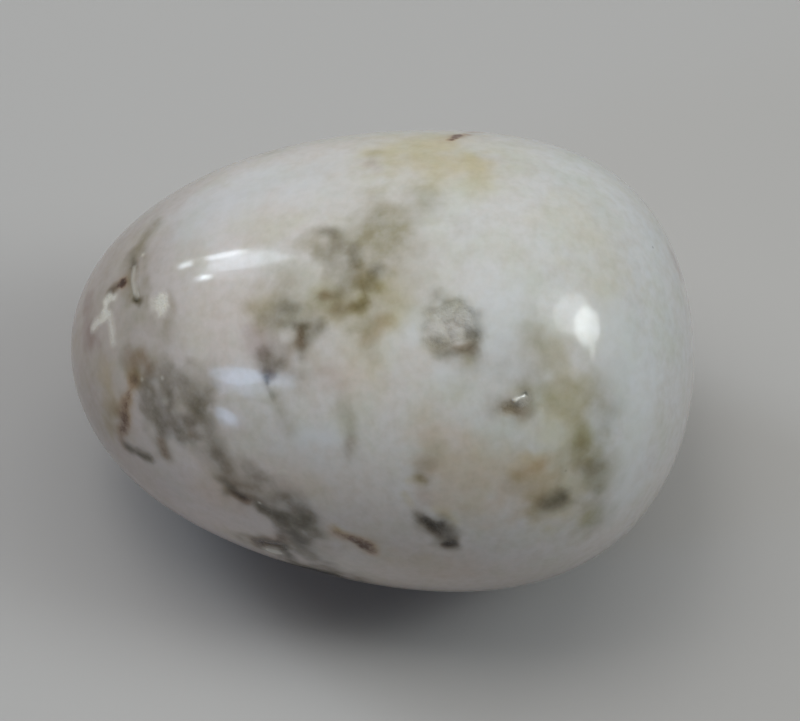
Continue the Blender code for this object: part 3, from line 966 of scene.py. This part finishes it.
# Slow changes over the egg: the axis, the mm along it where each starts and is full, tint. They
# are the narrow end, its tip, the blunt end and the lower side. The tip is darker, partly a smoky
# tone and partly painted shade, and the lower side is darker and pinker towards the floor as painted
# shade.
SLOW_TINTS_AND_SHADE = (
    ("X", 0.0, -28.0, (1.0, 0.965, 0.995)),
    # Darker towards the narrow tip: partly a smoky tone, partly painted shade.
    ("X", -16.0, -28.0, (0.65, 0.62, 0.57)),
    ("X", 2.0, 28.0, (0.93, 0.985, 1.06)),
    # Darker and pinker towards the floor: painted shade with a pinker tone.
    ("Z", 38.0, 14.0, (0.95, 0.84, 0.79)),
)
tone = ranged(cloud(scale=0.7, detail=3.0), low=0.35, high=0.65)
creaminess = ranged(cloud(scale=0.10, detail=3.0), low=0.35, high=0.65)
colour = mixed("MIX", creaminess, MILKY, CREAMY)
for features, detail, start, full, tint in FAINT_CLOUDS:
    colour = tinted(colour, ranged(cloud(features, detail), start, full), tint)
drift = nodes.new("ShaderNodeSeparateXYZ")
links.new(place_mm, drift.inputs["Vector"])
for axis, start, full, tint in SLOW_TINTS_AND_SHADE:
    colour = tinted(colour, ranged(drift.outputs[axis], start, full), tint)

# The marks. Haze and smoke vary with the tone, and rust with how dense it is.
BLUISH_WHITE = (0.76, 0.79, 0.81)
# The chalk's cream, which also paints the glint specks.
CREAM_CHALK_AND_GLINT = (0.82, 0.785, 0.69)
HAZE_TINTS = ((0.57, 0.54, 0.41), (0.61, 0.59, 0.50))
SMOKE_TINTS = ((0.37, 0.345, 0.28), (0.42, 0.405, 0.36))
RUST_TINTS = ((0.72, 0.50, 0.32), (0.30, 0.155, 0.10))
RUST_THIN = 0.35
RUST_DENSE = 0.8
INK_TINT = (0.14, 0.12, 0.10)
# The crevice tint and its share are painted shade in the hollows.
CREVICE_PAINTED_SHADE = (0.86, 0.84, 0.80)
CREVICE_SHADE_SHARE = 0.55
milk_share = share_of("milk", grain=0.5, mottle=0.6)
colour = mixed("MIX", milk_share, colour, BLUISH_WHITE)
for name, grain, mottle, tint in (
    ("peach", 0.4, 0.6, (0.96, 0.86, 0.75)),
    ("ochre", 0.6, 0.7, (0.88, 0.80, 0.50)),
    ("haze", 0.5, 1.1, mixed("MIX", tone, *HAZE_TINTS)),
    ("smoke", 0.8, 1.1, mixed("MIX", tone, *SMOKE_TINTS)),
    ("rust_stain", 0.7, 0.8, (0.88, 0.79, 0.66)),
    ("mauve", 0.8, 0.8, (0.66, 0.56, 0.55)),
    ("moss", 1.2, 0.8, (0.33, 0.30, 0.20)),
):
    colour = tinted(colour, share_of(name, grain, mottle), tint)
rust_share = share_of("rust", grain=2.2, mottle=1.2)
rust_tint = mixed("MIX", ranged(rust_share, RUST_THIN, RUST_DENSE), *RUST_TINTS)
colour = tinted(colour, rust_share, rust_tint)
colour = tinted(colour, share_of("ink", grain=2.0, mottle=0.6), INK_TINT)

# The hollows are darkened with their depth as painted shade, most in the crevices between the
# crystals and least where the crystals rise. The chalk and the specks painted as glints lie over
# everything.
hollow_share = share_of("hollow", grain=2.5, mottle=0.8)
crystal_layer = nodes.new("ShaderNodeAttribute")
crystal_layer.attribute_name = "crystal"
painted_crevice_shade = nodes.new("ShaderNodeMath")
painted_crevice_shade.operation = "MULTIPLY"
links.new(hollow_share, painted_crevice_shade.inputs[0])
links.new(ranged(crystal_layer.outputs["Fac"], 0.0, 1.0, CREVICE_SHADE_SHARE, 0.0), painted_crevice_shade.inputs[1])
colour = tinted(colour, painted_crevice_shade.outputs[0], CREVICE_PAINTED_SHADE)
chalk_and_glint_share = share_of("chalk_and_glints", grain=2.0, mottle=0.45)
colour = mixed("MIX", chalk_and_glint_share, colour, CREAM_CHALK_AND_GLINT)
links.new(colour, shader.inputs["Base Color"])

# The polish shines, and the hollows, the chalk and the specks painted as glints are rough.
POLISHED = 0.11
UNPOLISHED = 0.45
rough_share = nodes.new("ShaderNodeMath")
rough_share.operation = "MAXIMUM"
links.new(chalk_and_glint_share, rough_share.inputs[0])
links.new(hollow_share, rough_share.inputs[1])
roughness = ranged(rough_share.outputs[0], 0.0, 1.0, POLISHED, UNPOLISHED)
links.new(roughness, shader.inputs["Roughness"])

# The rough places have a fine grain as well.
bump = nodes.new("ShaderNodeBump")
bump.inputs["Strength"].default_value = 1.0
bump.inputs["Distance"].default_value = 0.10 * MM
bump_height = nodes.new("ShaderNodeMath")
bump_height.operation = "MULTIPLY"
links.new(cloud(scale=4.0, detail=3.0), bump_height.inputs[0])
links.new(rough_share.outputs[0], bump_height.inputs[1])
links.new(bump_height.outputs[0], bump.inputs["Height"])
links.new(bump.outputs["Normal"], shader.inputs["Normal"])

# Light goes about a millimetre into the milky stone.
shader.inputs["IOR"].default_value = 1.5
shader.inputs["Subsurface Weight"].default_value = 0.7
shader.inputs["Subsurface Radius"].default_value = (1.0, 0.9, 0.75)
shader.inputs["Subsurface Scale"].default_value = 0.0012
egg_data.materials.append(stone)

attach(egg, "root")
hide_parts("egg")
